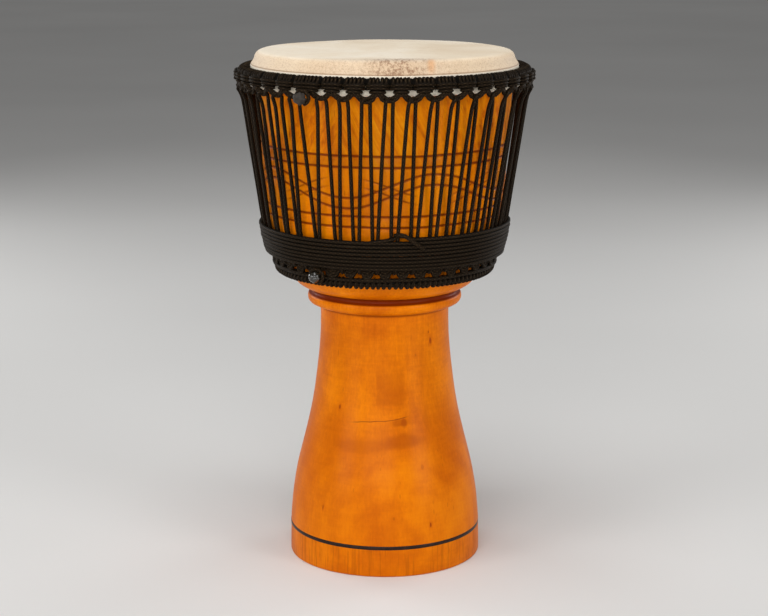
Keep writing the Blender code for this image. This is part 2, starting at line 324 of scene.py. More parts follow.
def capped_faces(rows, columns):
    """Rings closed at both ends by fans; the first and last centres follow the rings' points."""
    faces = ring_faces(rows, columns)
    first_centre, last_centre = rows * columns, rows * columns + 1
    last = (rows - 1) * columns
    for column in range(columns):
        beside = (column + 1) % columns
        faces.append((first_centre, column, beside))
        faces.append((last_centre, last + beside, last + column))
    return faces


def carried_normals(path, tangents, closed):
    """Normals carried along a path without twisting; on a closed path the last meets the first."""
    normals = np.empty_like(path)
    helper = np.array([0.0, 0.0, 1.0]) if abs(tangents[0][2]) < 0.9 else np.array([1.0, 0.0, 0.0])
    normals[0] = unit(np.cross(tangents[0], helper))
    for n in range(1, len(path)):
        previous = normals[n - 1]
        normals[n] = unit(previous - tangents[n] * previous.dot(tangents[n]))
    if closed:
        last = unit(normals[-1] - tangents[0] * normals[-1].dot(tangents[0]))
        twist = math.atan2(np.cross(normals[0], last).dot(tangents[0]), normals[0].dot(last))
        turn = -twist * np.arange(len(path))[:, None] / len(path)
        normals = normals * np.cos(turn) + np.cross(tangents, normals) * np.sin(turn)
    return normals


class Strands:
    """Round ropes gathered into one mesh, with a UV map that runs round and along each rope."""

    def __init__(self):
        self.points = []
        self.faces = []
        self.uvs = []
        self.painted_shades = []
        self.count = 0

    def add(self, path, radius=ROPE / 2, closed=False, squeeze=None, deep=0.0, packed=0.0):
        """squeeze is (outward, upright) factors on the section, for a rope that is pressed flat.

        deep is painted shade over the whole of a rope that lies in a crevice; the last argument is painted
        shade on its flanks only, where the turns beside it touch.
        """
        path = np.asarray(path, float)
        if closed:
            tangents = unit(np.roll(path, -1, 0) - np.roll(path, 1, 0))
        else:
            tangents = unit(np.gradient(path, axis=0))
        normals = carried_normals(path, tangents, closed)
        binormals = np.cross(tangents, normals)
        around = round_angles(SIDES)
        offsets = (normals[:, None] * np.cos(around)[None, :, None]
                   + binormals[:, None] * np.sin(around)[None, :, None]) * radius
        middle = path.mean(axis=0) if closed else 0.0
        beside = unit(np.cross(tangents, unit((path - middle) * [1, 1, closed])))[:, None]
        # Painted shade: all over a rope in a crevice, and on the flanks of packed turns
        flank = np.abs((offsets * beside).sum(axis=2)) / radius
        shade = deep + packed * np.clip((flank - FLANK_START) / FLANK_FADE, 0, 1)
        if squeeze is not None:
            outward = unit(path * np.array([1, 1, 0]))[:, None]
            push = (offsets * outward).sum(axis=2, keepdims=True)
            offsets = offsets + outward * push * (squeeze[0] - 1)
            offsets[:, :, 2] *= squeeze[1]
        rings = path[:, None] + offsets
        steps = np.linalg.norm(np.diff(path, axis=0, append=path[:1]), axis=1)
        along = np.concatenate([[0], np.cumsum(steps)]) / (math.pi * ROPE)
        if closed:
            along *= max(1, round(along[-1])) / along[-1]
        else:
            tips = path[[0, -1]] + tangents[[0, -1]] * [[-radius * DOME], [radius * DOME]]
            domes = path[[0, -1], None] + offsets[[0, -1]] * 0.72 + (tips - path[[0, -1]])[:, None] * 0.6
            rings = np.vstack([domes[:1], rings, domes[1:]])
            along = np.pad(along[:-1], 1, "edge")
            shade = np.pad(shade, ((1, 1), (0, 0)), constant_values=deep)
        self._skin(len(rings), along, closed)
        self.points.append(rings.reshape(-1, 3))
        self.painted_shades += shade.ravel().tolist()
        self.count += rings.shape[0] * SIDES
        if not closed:
            self._close(len(rings), along)
            self.points.append(tips)
            self.painted_shades += [deep, deep]
            self.count += 2

    def _skin(self, rows, along, closed):
        """Faces of the next rope's sides."""
        for n, face in enumerate(ring_faces(rows, SIDES, closed)):
            row, side = divmod(n, SIDES)
            self.faces.append(tuple(self.count + face[corner] for corner in (0, 3, 2, 1)))
            left, right = side / SIDES, (side + 1) / SIDES
            here, there = along[row], along[row + 1]
            self.uvs += [(left, here), (right, here), (right, there), (left, there)]

    def _close(self, rows, along):
        """Faces from the last rope's end rings to the two tips that follow its points."""
        for tip, ring, turned, at in ((self.count, self.count - rows * SIDES, True, along[0]),
                                      (self.count + 1, self.count - SIDES, False, along[-1])):
            for side in range(SIDES):
                face = (ring + side, ring + (side + 1) % SIDES, tip)
                uvs = [(side / SIDES, at), ((side + 1) / SIDES, at), (side / SIDES, at)]
                self.faces.append(face[::-1] if turned else face)
                self.uvs += uvs[::-1] if turned else uvs

    def piece(self, name):
        made = mesh_piece(name, np.vstack(self.points), self.faces, ROPE_MATERIAL, {"deep": self.painted_shades})
        layer = made.data.uv_layers.new(name="rope")
        layer.data.foreach_set("uv", np.asarray(self.uvs, np.float32).ravel())
        return made


# ---- materials

# Marks in the foot's wood: (degrees round, height, half width, half height, strength)
SHADES = [(34.5, 0.1890, 0.0080, 0.0200, 0.28), (13, 0.1670, 0.0380, 0.0110, 0.58),
          (11.5, 0.1890, 0.0140, 0.0075, 0.66), (15, 0.1890, 0.0050, 0.0105, 0.90),
          (-17, 0.1600, 0.0500, 0.0125, 0.36),
          (160, 0.2200, 0.0160, 0.0260, 0.24), (230, 0.1500, 0.0220, 0.0180, 0.26)]
KNOTS = [(-38, 0.2050, 0.0020, 0.0040, 0.70), (44, 0.2860, 0.0019, 0.0055, 0.85),
         (42, 0.2975, 0.0011, 0.0022, 0.65), (27.6, 0.2710, 0.0014, 0.0026, 0.30),
         (28.6, 0.0622, 0.0017, 0.0045, 0.80), (5.6, 0.0744, 0.0015, 0.0030, 0.35),
         (-41, 0.0800, 0.0010, 0.0055, 0.75), (26, 0.1340, 0.0028, 0.0050, 0.25),
         (150, 0.2600, 0.0020, 0.0050, 0.80), (205, 0.1300, 0.0018, 0.0042, 0.70),
         (262, 0.2100, 0.0014, 0.0030, 0.50)]
SHADE_COLOR = (166, 72, 0)
CRACK_HEIGHT = 0.1921       # on the axis plane
CRACK_WANDER = 0.0030
CRACK_CLIMB = 0.083
CRACK_STEEPER = 0.070       # added to the climb on the right of the middle
SWIRL_AT = (-0.014, 0.108, -0.039)
FAN_AT = (-0.055, 0, 0)
GRAIN_SLANT = math.radians(27)


def srgb(red, green, blue):
    """A colour given as 0-255 screen values, as the linear RGBA a node takes."""
    def linear(value):
        value = value / 255
        return value / 12.92 if value <= 0.04045 else ((value + 0.055) / 1.055) ** 2.4
    return (linear(red), linear(green), linear(blue), 1)


class Paint:
    """A material's node graph, written as calls."""

    def __init__(self, name, **constants):
        self.material = bpy.data.materials.new(name)
        self.material.use_nodes = True
        self.tree = self.material.node_tree
        self.shader = self.tree.nodes["Principled BSDF"]
        self.set(**constants)

    def set(self, **values):
        for key, value in values.items():
            self._feed(self.shader.inputs[key.replace("_", " ")], value)

    def _feed(self, socket, value):
        if isinstance(value, bpy.types.NodeSocket):
            self.tree.links.new(value, socket)
        else:
            socket.default_value = value

    def node(self, kind, output, inputs, **settings):
        """A new node's output. inputs is {name or place in the list: value or another output}."""
        made = self.tree.nodes.new("ShaderNode" + kind)
        for key, value in settings.items():
            setattr(made, key, value)
        for key, value in inputs.items():
            self._feed(made.inputs[key], value)
        return made.outputs[output]

    def place(self):
        return self.node("TexCoord", "Object", {})

    def uv(self):
        return self.node("UVMap", "UV", {}, uv_map="rope")

    def mark(self, name):
        return self.node("Attribute", "Fac", {}, attribute_name=name)

    def axis(self, vector, name):
        return self.node("SeparateXYZ", name, {"Vector": vector})

    def calc(self, operation, *values):
        return self.node("Math", 0, dict(enumerate(values)), operation=operation)

    def times(self, first, *others):
        for other in others:
            first = self.calc("MULTIPLY", first, other)
        return first

    def vector(self, operation, *values, output="Vector"):
        return self.node("VectorMath", output, dict(enumerate(values)), operation=operation)

    def stretch(self, vector, scale, shift=(0, 0, 0), turn=(0, 0, 0)):
        return self.node("Mapping", "Vector", {"Vector": vector, "Scale": scale, "Location": shift,
                                               "Rotation": turn})

    def warp(self, vector, wander, amount):
        """A vector moved about by a colour noise; amount is the whole range along each axis."""
        moved = self.vector("MULTIPLY_ADD", wander, amount, vector)
        return self.stretch(moved, (1, 1, 1), tuple(-size / 2 for size in amount))

    def noise(self, vector, scale, detail=2, roughness=0.5, distortion=0, output="Fac"):
        return self.node("TexNoise", output, {"Vector": vector, "Scale": scale, "Detail": detail,
                                              "Roughness": roughness, "Distortion": distortion})

    def cells(self, vector, scale, output="Distance", **settings):
        return self.node("TexVoronoi", output, {"Vector": vector, "Scale": scale}, **settings)

    def span(self, value, low, high, to_low=0, to_high=1):
        return self.node("MapRange", "Result", {"Value": value, "From Min": low, "From Max": high,
                                                "To Min": to_low, "To Max": to_high},
                         interpolation_type="SMOOTHSTEP")

    def ramp(self, value, stops):
        """stops are (position, red, green, blue)."""
        color = self.node("ValToRGB", "Color", {"Fac": value})
        elements = color.node.color_ramp.elements
        while len(elements) < len(stops):
            elements.new(0.5)
        for element, (position, *tone) in zip(elements, stops):
            element.position = position
            element.color = srgb(*tone)
        return color

    def two_tone(self, value, dark, light):
        return self.ramp(value, [(0.3, *dark), (0.7, *light)])

    def mix(self, amount, first, second):
        return self.node("Mix", 2, {0: amount, 6: first, 7: second}, data_type="RGBA")

    def tinted(self, color, layers):
        """A colour under layers of (mask, strength, red, green, blue)."""
        for mask, strength, *tone in layers:
            color = self.mix(self.times(mask, strength), color, srgb(*tone))
        return color

    def near(self, vector, centre, low, high):
        """1 at a centre, falling to 0 between the distances low and high."""
        return self.span(self.vector("DISTANCE", vector, centre, output="Value"), low, high, 1, 0)

    def bump(self, height, distance, strength):
        return self.node("Bump", "Normal", {"Height": height, "Distance": distance, "Strength": strength})


def lacquered_wood():
    p = Paint("lacquered_wood", Coat_Weight=0.07, Coat_Roughness=0.24, Coat_IOR=1.45, IOR=1.45,
              Specular_IOR_Level=0.05)
    place = p.place()
    z = p.axis(place, "Z")
    wander = p.noise(place, 34, 3, output="Color")
    streaks = p.noise(p.stretch(place, (1, 1, 0.05)), 300, 3, 0.6)
    figure = 0.5
    for pattern, strength in (
            (p.noise(p.stretch(place, (1, 1, 0.7)), 12, 3, 0.55, 1.4), 0.56),
            (blocks(p, p.warp(place, wander, (0.028, 0.028, 0.028))), 0.26),
            (streaks, 0.19),
            (p.noise(p.stretch(place, (0.16, 0.16, 1)), 260, 2, 0.6, 0.3), 0.17),
            (p.noise(p.stretch(place, (1, 1, 0.4)), 420, 2, 0.6), 0.22),
            (swirl(p, place), p.times(p.span(z, 0.165, 0.120), 0.07)),
            (fan(p, place), p.times(p.span(z, 0.490, 0.550), 1.20))):
        figure = p.calc("MULTIPLY_ADD", p.calc("SUBTRACT", pattern, 0.5), strength, figure)
    foot = p.ramp(figure, [(0.26, 186, 86, 0), (0.44, 210, 108, 0), (0.58, 228, 124, 0),
                           (0.78, 242, 142, 2)])
    bowl = p.ramp(figure, [(0.24, 200, 96, 0), (0.42, 224, 120, 0), (0.60, 236, 136, 0),
                           (0.80, 246, 156, 14)])
    color = p.mix(p.span(z, 0.350, 0.420), foot, bowl)
    pores = p.span(p.cells(p.stretch(place, (1, 1, 0.14)), 210), 0.10, 0.19, 1, 0)
    sparse = p.span(p.noise(place, 30, 1), 0.54, 0.66)
    uneven = p.warp(place, wander, (0.012, 0, 0.012))
    layers = [(p.times(pores, sparse), 0.45, 140, 56, 4),
              (p.span(z, 0.250, 0.150), 0.34, 196, 92, 0),
              (figure_patch(p, uneven), 0.38, *SHADE_COLOR)]
    for *oval, strength in SHADES:
        layers.append((oval_mask(p, uneven, *oval, solid=0.40), strength, *SHADE_COLOR))
    for degrees, height, half_width, half_height, strength in KNOTS:
        halo = oval_mask(p, place, degrees, height, half_width * 2.6, half_height * 2, solid=0.2)
        core = oval_mask(p, place, degrees, height, half_width, half_height, solid=0.4)
        layers += [(halo, strength * 0.4, 178, 66, 2), (core, strength, 128, 24, 2)]
    layers += [(crack_mask(p, place), 0.75, 120, 42, 4),
               (p.times(p.span(z, 0.037, 0.034), p.span(streaks, 0.50, 0.62)), 0.40, 150, 62, 2),
               # painted shade and pooled lacquer in the recess under the bowl, painted shadow under the
               # collar
               (p.mark("shade_and_stain"), 1, 106, 28, 2),
               # carved lines darkened: painted shade in the grooves, with lacquer pooled in them
               (p.mark("cut"), 0.92, 112, 36, 2)]
    color = p.tinted(color, layers)
    p.set(Base_Color=color, Roughness=p.span(streaks, 0.3, 0.7, 0.36, 0.46))
    relief = p.calc("MULTIPLY_ADD", streaks, 0.6, p.times(pores, -0.4))
    p.set(Normal=p.bump(relief, 0.00012, 0.7))
    return p.material


def blocks(p, place):
    """Blurred patches of the figure, some light and some dark."""
    cells = p.cells(p.stretch(place, (1, 1, 0.6)), 22, "Color", distance="CHEBYCHEV", feature="SMOOTH_F1")
    return p.axis(cells, "X")


def swirl(p, place):
    """Growth rings that come to the surface on the foot's flare."""
    return p.node("TexWave", "Fac", {"Vector": p.stretch(place, (1, 1, 1), SWIRL_AT), "Scale": 12,
                                     "Distortion": 5, "Detail": 2, "Detail Scale": 0.8},
                  wave_type="RINGS", rings_direction="SPHERICAL")


def fan(p, place):
    """Slanting grain near the bowl's rim, mirrored about FAN_AT."""
    folded = p.vector("ABSOLUTE", p.vector("SUBTRACT", place, FAN_AT))
    slanted = p.stretch(folded, (1, 1, 1), turn=(0, GRAIN_SLANT, 0))
    return p.noise(p.stretch(slanted, (1, 1, 0.05)), 150, 3, 0.6, 0.4)


def oval_mask(p, place, degrees, height, half_width, half_height, solid):
    """1 inside an upright oval on the foot, fading to 0 at its edge; solid is where the fade begins."""
    centre = polar(float(outline_radius(FOOT + BASE, height)), math.radians(degrees), height)
    scale = (1 / half_width, 1 / half_width, 1 / half_height)
    shift = tuple(-size * at for size, at in zip(scale, centre))
    return p.near(p.stretch(place, scale, shift), (0, 0, 0), solid, 1)


def figure_patch(p, place):
    """A block of darker figure on the front of the foot, crisp at its left and soft elsewhere."""
    x, y, z = (p.axis(place, name) for name in "XYZ")
    across = p.times(p.span(x, -0.0115, -0.0095), p.span(x, 0.0270, 0.0200))
    upright = p.times(p.span(z, 0.2070, 0.2130), p.span(z, 0.2620, 0.2440))
    return p.times(across, upright, p.span(y, -0.040, -0.060))


def crack_mask(p, place):
    """A hair crack that climbs a little as it crosses the front of the foot."""
    x, y, z = (p.axis(place, name) for name in "XYZ")
    level = p.calc("MULTIPLY_ADD", x, -CRACK_CLIMB, z)
    level = p.calc("MULTIPLY_ADD", p.calc("MAXIMUM", x, 0), -CRACK_STEEPER, level)
    level = p.calc("SUBTRACT", level, p.times(p.noise(place, 45, 2), CRACK_WANDER))
    away = p.calc("ABSOLUTE", p.calc("SUBTRACT", level, CRACK_HEIGHT - CRACK_WANDER / 2))
    line = p.span(away, 0.0002, 0.0008, 1, 0)
    reach = p.times(p.span(x, -0.046, -0.032), p.span(x, 0.030, 0.024))
    return p.times(line, reach, p.span(y, -0.040, -0.060))


def black_rope():
    p = Paint("black_rope", Sheen_Weight=0.03, Sheen_Roughness=0.4, Sheen_Tint=srgb(200, 180, 140),
              Specular_IOR_Level=0.06)
    uv = p.uv()
    twists = [p.node("TexWave", "Fac", {"Vector": p.stretch(uv, (lay, 5, 1)), "Scale": 0.3142,
                                        "Distortion": 0.6, "Detail": 1},
                     bands_direction="DIAGONAL", wave_profile="SIN") for lay in (8, -8)]
    fibres = p.noise(p.stretch(uv, (60, 6, 1)), 1, 3, 0.6)
    wear = p.noise(p.place(), 90, 3, 0.6)
    tone = p.calc("MULTIPLY_ADD", p.times(*twists), 0.42, p.times(fibres, 0.55))
    color = p.ramp(tone, [(0.15, 8, 4, 1), (0.5, 38, 27, 15), (0.85, 76, 61, 40)])
    # wear lightens at random; the deep mark is painted shade in crevices and on packed flanks
    color = p.tinted(color, [(p.span(wear, 0.58, 0.72), 0.35, 52, 43, 29), (p.mark("deep"), 1, 4, 3, 2)])
    p.set(Base_Color=color, Roughness=p.span(fibres, 0.3, 0.7, 0.5, 0.68))
    p.set(Normal=p.bump(tone, 0.00030, 0.6))
    return p.material


def melted_rope(name, roughness, coat, dark, light):
    p = Paint(name, Coat_Weight=coat, Coat_Roughness=0.08)
    lumps = p.noise(p.place(), 380, 3, 0.6)
    p.set(Base_Color=p.two_tone(lumps, dark, light),
          Roughness=p.span(lumps, 0.3, 0.7, roughness - 0.08, roughness + 0.08),
          Normal=p.bump(lumps, 0.0005, 0.7))
    return p.material


def goat_skin(name, front_marks):
    """front_marks scales what the head's front edge shows: bare hide, speckles, stubble and the painted
    shade of a crease.
    """
    p = Paint(name, Specular_IOR_Level=0.30, Sheen_Weight=0.08)
    place = p.place()
    x, y, z = (p.axis(place, name) for name in "XYZ")
    cloudy = p.noise(place, 7, 3, 0.5, 0.5)
    mottled = p.noise(place, 75, 4, 0.65)
    hair = p.noise(p.stretch(place, (1, 0.22, 1)), 850, 2, 0.6)
    color = p.ramp(cloudy, [(0.28, 236, 214, 182), (0.5, 246, 230, 204), (0.72, 252, 242, 224)])
    bend = p.span(z, 0.6400, 0.6362)
    edge = p.times(p.span(y, -0.118, -0.150), front_marks)
    across = p.span(p.calc("ABSOLUTE", p.calc("SUBTRACT", x, 0.0150)), 0.012, 0.048, 1, 0)
    speckles = p.span(p.noise(p.stretch(place, (1, 0.5, 0.8)), 240, 4, 0.75), 0.44, 0.60)
    tan = p.near(p.stretch(place, (1, 0.30, 0.45)), (0.0540, -0.0450, 0.2855), 0.001, 0.0072)
    stubble = p.span(p.noise(place, 520, 3, 0.7), 0.48, 0.66)
    # painted shade along a crease in the skin below the bend
    crease_shade = p.times(p.span(z, 0.6247, 0.6241), p.span(z, 0.6227, 0.6233))
    color = p.tinted(color, [
        (p.span(mottled, 0.50, 0.74), 0.20, 214, 184, 146),
        (bend, front_marks * 0.58, 212, 184, 150),
        (edge, p.calc("MULTIPLY_ADD", across, 0.30, 0.25), 196, 164, 130),
        (p.times(speckles, edge), p.calc("MULTIPLY_ADD", across, 0.7, 0.14), 138, 100, 72),
        (tan, front_marks * 0.60, 220, 160, 104),
        (p.times(stubble, bend), front_marks * 0.40, 168, 128, 96),
        (p.times(p.span(hair, 0.54, 0.70), p.calc("MULTIPLY_ADD", edge, 0.35, 0.14)), 0.55, 140, 104, 76),
        (crease_shade, front_marks * 0.55, 142, 102, 72),
        # painted highlight: the skin below the crease made lighter where it rounds over above the crown; the
        # hoop's skin lies wholly below it
        (p.span(z, 0.6230, 0.6225), 0.8, 252, 242, 222)])
    p.set(Base_Color=color, Roughness=p.span(cloudy, 0.3, 0.7, 0.60, 0.76))
    p.set(Normal=p.bump(p.calc("MULTIPLY_ADD", hair, 0.5, mottled), 0.00035, 0.6))
    return p.material


def dark_inlay():
    p = Paint("dark_inlay", Coat_Weight=0.10, Coat_Roughness=0.2, Specular_IOR_Level=0.15, Roughness=0.42)
    streaks = p.noise(p.stretch(p.place(), (1, 1, 0.05)), 260, 3, 0.6)
    p.set(Base_Color=p.two_tone(streaks, (22, 12, 8), (50, 32, 22)), Normal=p.bump(streaks, 0.0001, 0.6))
    return p.material


def ring_steel():
    p = Paint("ring_steel", Metallic=1)
    scale = p.noise(p.place(), 300, 3, 0.6)
    p.set(Base_Color=p.two_tone(scale, (38, 37, 37), (74, 73, 74)),
          Roughness=p.span(scale, 0.3, 0.7, 0.45, 0.65), Normal=p.bump(scale, 0.0001, 0.5))
    return p.material


def pale_floor():
    p = Paint("pale_floor", Specular_IOR_Level=0.02, Roughness=1)
    p.set(Base_Color=p.two_tone(p.noise(p.place(), 0.8, 2), (226, 225, 223), (232, 231, 229)))
    return p.material


# ---- the wooden shell

def line_profile(away, half=LINE_HALF):
    """Depth across a carved line, 1 in the middle and 0 at its edge."""
    return np.clip(1 - (away / half) ** 2, 0, 1)


def carving(angle, height):
    """How deep the lines are cut at points of the bowl, from 0 to 1."""
    depth = np.zeros(np.broadcast(angle, height).shape)
    uneven = 0.0005 * np.sin(3 * angle + 1) + 0.0003 * np.sin(8 * angle) + 0.0002 * np.sin(19 * angle + 2)
    for line in PLAIN_LINES:
        depth = np.maximum(depth, line_profile(height - line - uneven * math.cos(line * 900)))
    turn = angle - WAVE_MIDDLE_ANGLE
    phase = WAVE_COUNT * (turn + WAVE_CROWDING * np.sin(turn)) - math.pi / 2
    rate = WAVE_COUNT * (1 + WAVE_CROWDING * np.cos(turn))
    crossing = np.clip((0.88 - np.abs(np.cos(phase))) / 0.30, 0, 1)
    for swing, pair, strength, half in ((WAVE_SWING, WAVE_PAIR, 1.0, LINE_HALF),
                                        (-WAVE_SWING, WAVE_PAIR_FINE, 0.8 * crossing, FINE_HALF)):
        middle = WAVE_MIDDLE + swing * np.cos(phase)
        slope = -swing * rate / CARVED_RADIUS * np.sin(phase)
        for side in (-1, 1):
            away = (height - middle - side * pair - uneven) / np.sqrt(1 + slope ** 2)
            depth = np.maximum(depth, strength * line_profile(away, half))
    return depth


def dense_rows(top, bottom, step):
    count = max(2, int(round((top - bottom) / step)))
    return list(np.linspace(top, bottom, count + 1))


def side_rows(heights, factor):
    """Shell rows on the bowl's side, at heights."""
    return [(float(outline_radius(BOWL[:BOWL_SIDE], z)), z, factor) for z in heights]


def shell_rows():
    """(radius, height, columns factor) of every ring of the shell, down the outside and up the bore."""
    top, bottom = BOWL[0][1], BOWL[BOWL_SIDE - 1][1]
    heights = set(dense_rows(top, FINE_ZONE[0], COARSE_STEP) + dense_rows(FINE_ZONE[1], bottom, COARSE_STEP))
    for line in PLAIN_LINES:
        heights = {z for z in heights if abs(z - line) > LINE_CLEAR}
        heights |= {line + side * offset for offset in LINE_ROWS for side in (-1, 1)}
    fine = dense_rows(FINE_ZONE[0] - FINE_MARGIN, FINE_ZONE[1] + FINE_MARGIN, FINE_STEP)
    side = sorted(side_rows(heights, 1) + side_rows(fine, FINE_FACTOR), key=lambda row: -row[1])
    under = smooth_outline(BOWL[BOWL_SIDE - 1:] + RECESS + COLLAR + NECK_LINE + FOOT[:3], 0.0021)[1:]
    foot = smooth_outline(FOOT[2:], 0.0060)[1:]
    edge = float(outline_radius(BASE, INLAY_TOP))
    groove = [(edge, INLAY_TOP + 0.0006), (edge - 0.0001, INLAY_TOP + 0.0002),
              (edge - INLAY_DEPTH, INLAY_TOP + 0.0001), (edge - INLAY_DEPTH, INLAY_BOTTOM - 0.0001),
              (edge - 0.0001, INLAY_BOTTOM - 0.0002), (edge, INLAY_BOTTOM - 0.0006)]
    rim = edge_arc(EDGE_ROUND, (100, 80, 60, 40, 20))
    rest = under + foot + groove + BASE + BORE
    return [(r, z, 1) for r, z in rim] + side + [(r, z, 1) for r, z in rest]


def strays(angle, radius, height):
    """How far the hand-turned wood strays from round; the low bore and the foot's slim part don't."""
    if radius < 0.1062 and height < 0.35 and not (0.30 < height and radius > 0.079):
        return 0.0
    return 0.00025 * np.sin(2 * angle + 9 * height) + 0.00015 * np.sin(5 * angle - 14 * height)


def shade_and_stain_at(radius, height):
    for low, high, widest, strength in SHADE_AND_STAINS:
        if low < height < high and radius < widest:
            return strength
    return 0.0


def shell():
    rows = shell_rows()
    vertices, faces, cuts, shades_and_stains, starts = [], [], [], [], [0]
    for radius, height, factor in rows:
        angle = round_angles(COARSE_COLUMNS * factor)
        on_bowl = CARVED_ZONE[1] < height < CARVED_ZONE[0] and radius > 0.1450
        depth = carving(angle, height) if on_bowl else np.zeros(len(angle))
        vertices.append(polar(radius - depth * LINE_DEPTH + strays(angle, radius, height), angle, height))
        cuts.append(depth)
        shades_and_stains.append(np.full(len(angle), shade_and_stain_at(radius, height)))
        starts.append(starts[-1] + len(angle))
    for row in range(len(rows)):
        following = (row + 1) % len(rows)
        faces += stitch(starts[row], rows[row][2], starts[following], rows[following][2])
    marks = {"cut": np.concatenate(cuts), "shade_and_stain": np.concatenate(shades_and_stains)}
    return mesh_piece("carved_shell", np.vstack(vertices), faces, WOOD, marks)


def stitch(upper, upper_factor, lower, lower_factor):
    """Faces between two rings whose columns may differ by FINE_FACTOR."""
    if upper_factor == lower_factor:
        return quads(upper, lower, COARSE_COLUMNS * upper_factor)
    faces = []
    fine_below = lower_factor == FINE_FACTOR
    coarse_start, fine_start = (upper, lower) if fine_below else (lower, upper)
    for column in range(COARSE_COLUMNS):
        here = coarse_start + column
        beside = coarse_start + (column + 1) % COARSE_COLUMNS
        fine = [fine_start + (column * FINE_FACTOR + n) % (COARSE_COLUMNS * FINE_FACTOR)
                for n in range(FINE_FACTOR + 1)]
        joins = [(here if n < FINE_FACTOR / 2 else beside, fine[n], fine[n + 1]) for n in range(FINE_FACTOR)]
        joins.append((here, fine[FINE_FACTOR // 2], beside))
        faces += joins if fine_below else [face[::-1] for face in joins]
    return faces


def inlay():
    """The dark band, a little uneven in width as a hand-fitted strip is."""
    edge = float(outline_radius(BASE, INLAY_TOP))
    angle = round_angles(COARSE_COLUMNS)
    swell = 0.00022 * np.sin(2 * angle + 0.8) + 0.00012 * np.sin(7 * angle)
    deep = edge - INLAY_DEPTH + 0.0003
    outline = [(deep, INLAY_TOP, 0), (edge - 0.0002, INLAY_TOP, 1), (edge, INLAY_TOP - 0.0003, 1),
               (edge + 0.00005, (INLAY_TOP + INLAY_BOTTOM) / 2, 0), (edge, INLAY_BOTTOM + 0.0003, -1),
               (edge - 0.0002, INLAY_BOTTOM, -1), (deep, INLAY_BOTTOM, 0)]
    rings = [polar(radius, angle, height + side * swell) for radius, height, side in outline]
    faces = ring_faces(len(outline), COARSE_COLUMNS, closed_rows=True)
    return mesh_piece("inlay_band", np.vstack(rings), faces, INLAY)


# ---- the head

def head():
    """The skin: flat over the bowl, round the bearing edge, and gathered down inside the hoop."""
    columns = 8 * LOOPS
    angle = round_angles(columns)
    flat = [(r, HEIGHT) for r in np.linspace(0.004, 0.1470, 44)]
    bend = edge_arc(EDGE_ROUND + SKIN_GAP + SKIN, (90, 78, 66, 54, 42, 30, 18, 6))
    skirt = smooth_outline([bend[-1]] + SKIRT, 0.0014)[1:]
    inside = [(r - SKIN * 0.9, z) for r, z in skirt[::-1]]
    inside += edge_arc(EDGE_ROUND + SKIN_GAP, (6, 30, 54, 78, 90))
    inside += [(r, HEIGHT - SKIN) for r in np.linspace(0.1400, 0.004, 12)]
    outline = flat + bend + skirt + inside
    pleats = 0.45 * np.sin(LOOPS * angle + 0.6) + 0.35 * np.sin(97 * angle) + 0.25 * np.sin(61 * angle + 1.7)
    rings = []
    for radius, height in outline:
        gathered = np.clip((0.6300 - height) / 0.0100, 0, 1) * 0.00055
        sag = (0.00016 * np.sin(3 * angle + radius * 40) * (radius / 0.15)
               + 0.00012 * np.sin(7 * angle - radius * 60))
        lift = sag if height > 0.6370 else 0
        rings.append(polar(radius + gathered * pleats, angle, height + lift))
    vertices = np.vstack(rings + [[0, 0, HEIGHT], [0, 0, HEIGHT - SKIN]])
    return mesh_piece("skin_head", vertices, capped_faces(len(outline), columns), HEAD_SKIN)


def hoop():
    """The flesh hoop with the skin wrapped round it in small folds."""
    columns, sides = 12 * LOOPS, 14
    angle = round_angles(columns)
    folds = 0.5 * np.sin(123 * angle) + 0.3 * np.sin(77 * angle + 2) + 0.4 * np.sin(LOOPS * 2 * angle)
    rings = []
    for side in range(sides):
        turn = -2 * math.pi * side / sides
        rod = HOOP_ROD + 0.00022 * folds * (1 + 0.4 * math.sin(3 * turn))
        rings.append(polar(FLESH_HOOP[0] + rod * math.cos(turn), angle,
                           FLESH_HOOP[1] + HOOP_TALL * rod * math.sin(turn)))
    faces = ring_faces(sides, columns, closed_rows=True)
    return mesh_piece("skin_on_hoop", np.vstack(rings), faces, HOOP_SKIN)


# ---- rope work

def ring_wrap(strands, ring, centre, distance, rod, slant, steps=15, lift=0.0, **look):
    """One turn of cord round a ring. rod is the radius of its centre line round the ring's own centre."""
    turn = np.linspace(0, 2 * math.pi, steps, endpoint=False)
    path = spot(centre, distance + slant * np.sin(turn), ring[0] + rod * np.cos(turn),
                ring[1] + lift + rod * np.sin(turn), ring[0])
    strands.add(path, closed=True, **look)


def crown_bar(strands, centre, half, height):
    """A level stretch of cord across a segment's front, its ends tucked in."""
    half_path = [(0.0, BAR_FACE, 0.0), (half * 0.6, 0.1829, 0.2), (half - 0.0010, 0.1806, 0.8),
                 (half + 0.0012, 0.1772, 1.5)]
    steps = [(-distance, radius, fall) for distance, radius, fall in half_path[:0:-1]] + half_path
    path = [spot(centre, distance, radius, height - fall * BAR_DROOP, BAR_FACE)
            for distance, radius, fall in steps]
    strands.add(smooth_path(path, 0.0024), squeeze=(1.0, 0.86), packed=0.95)


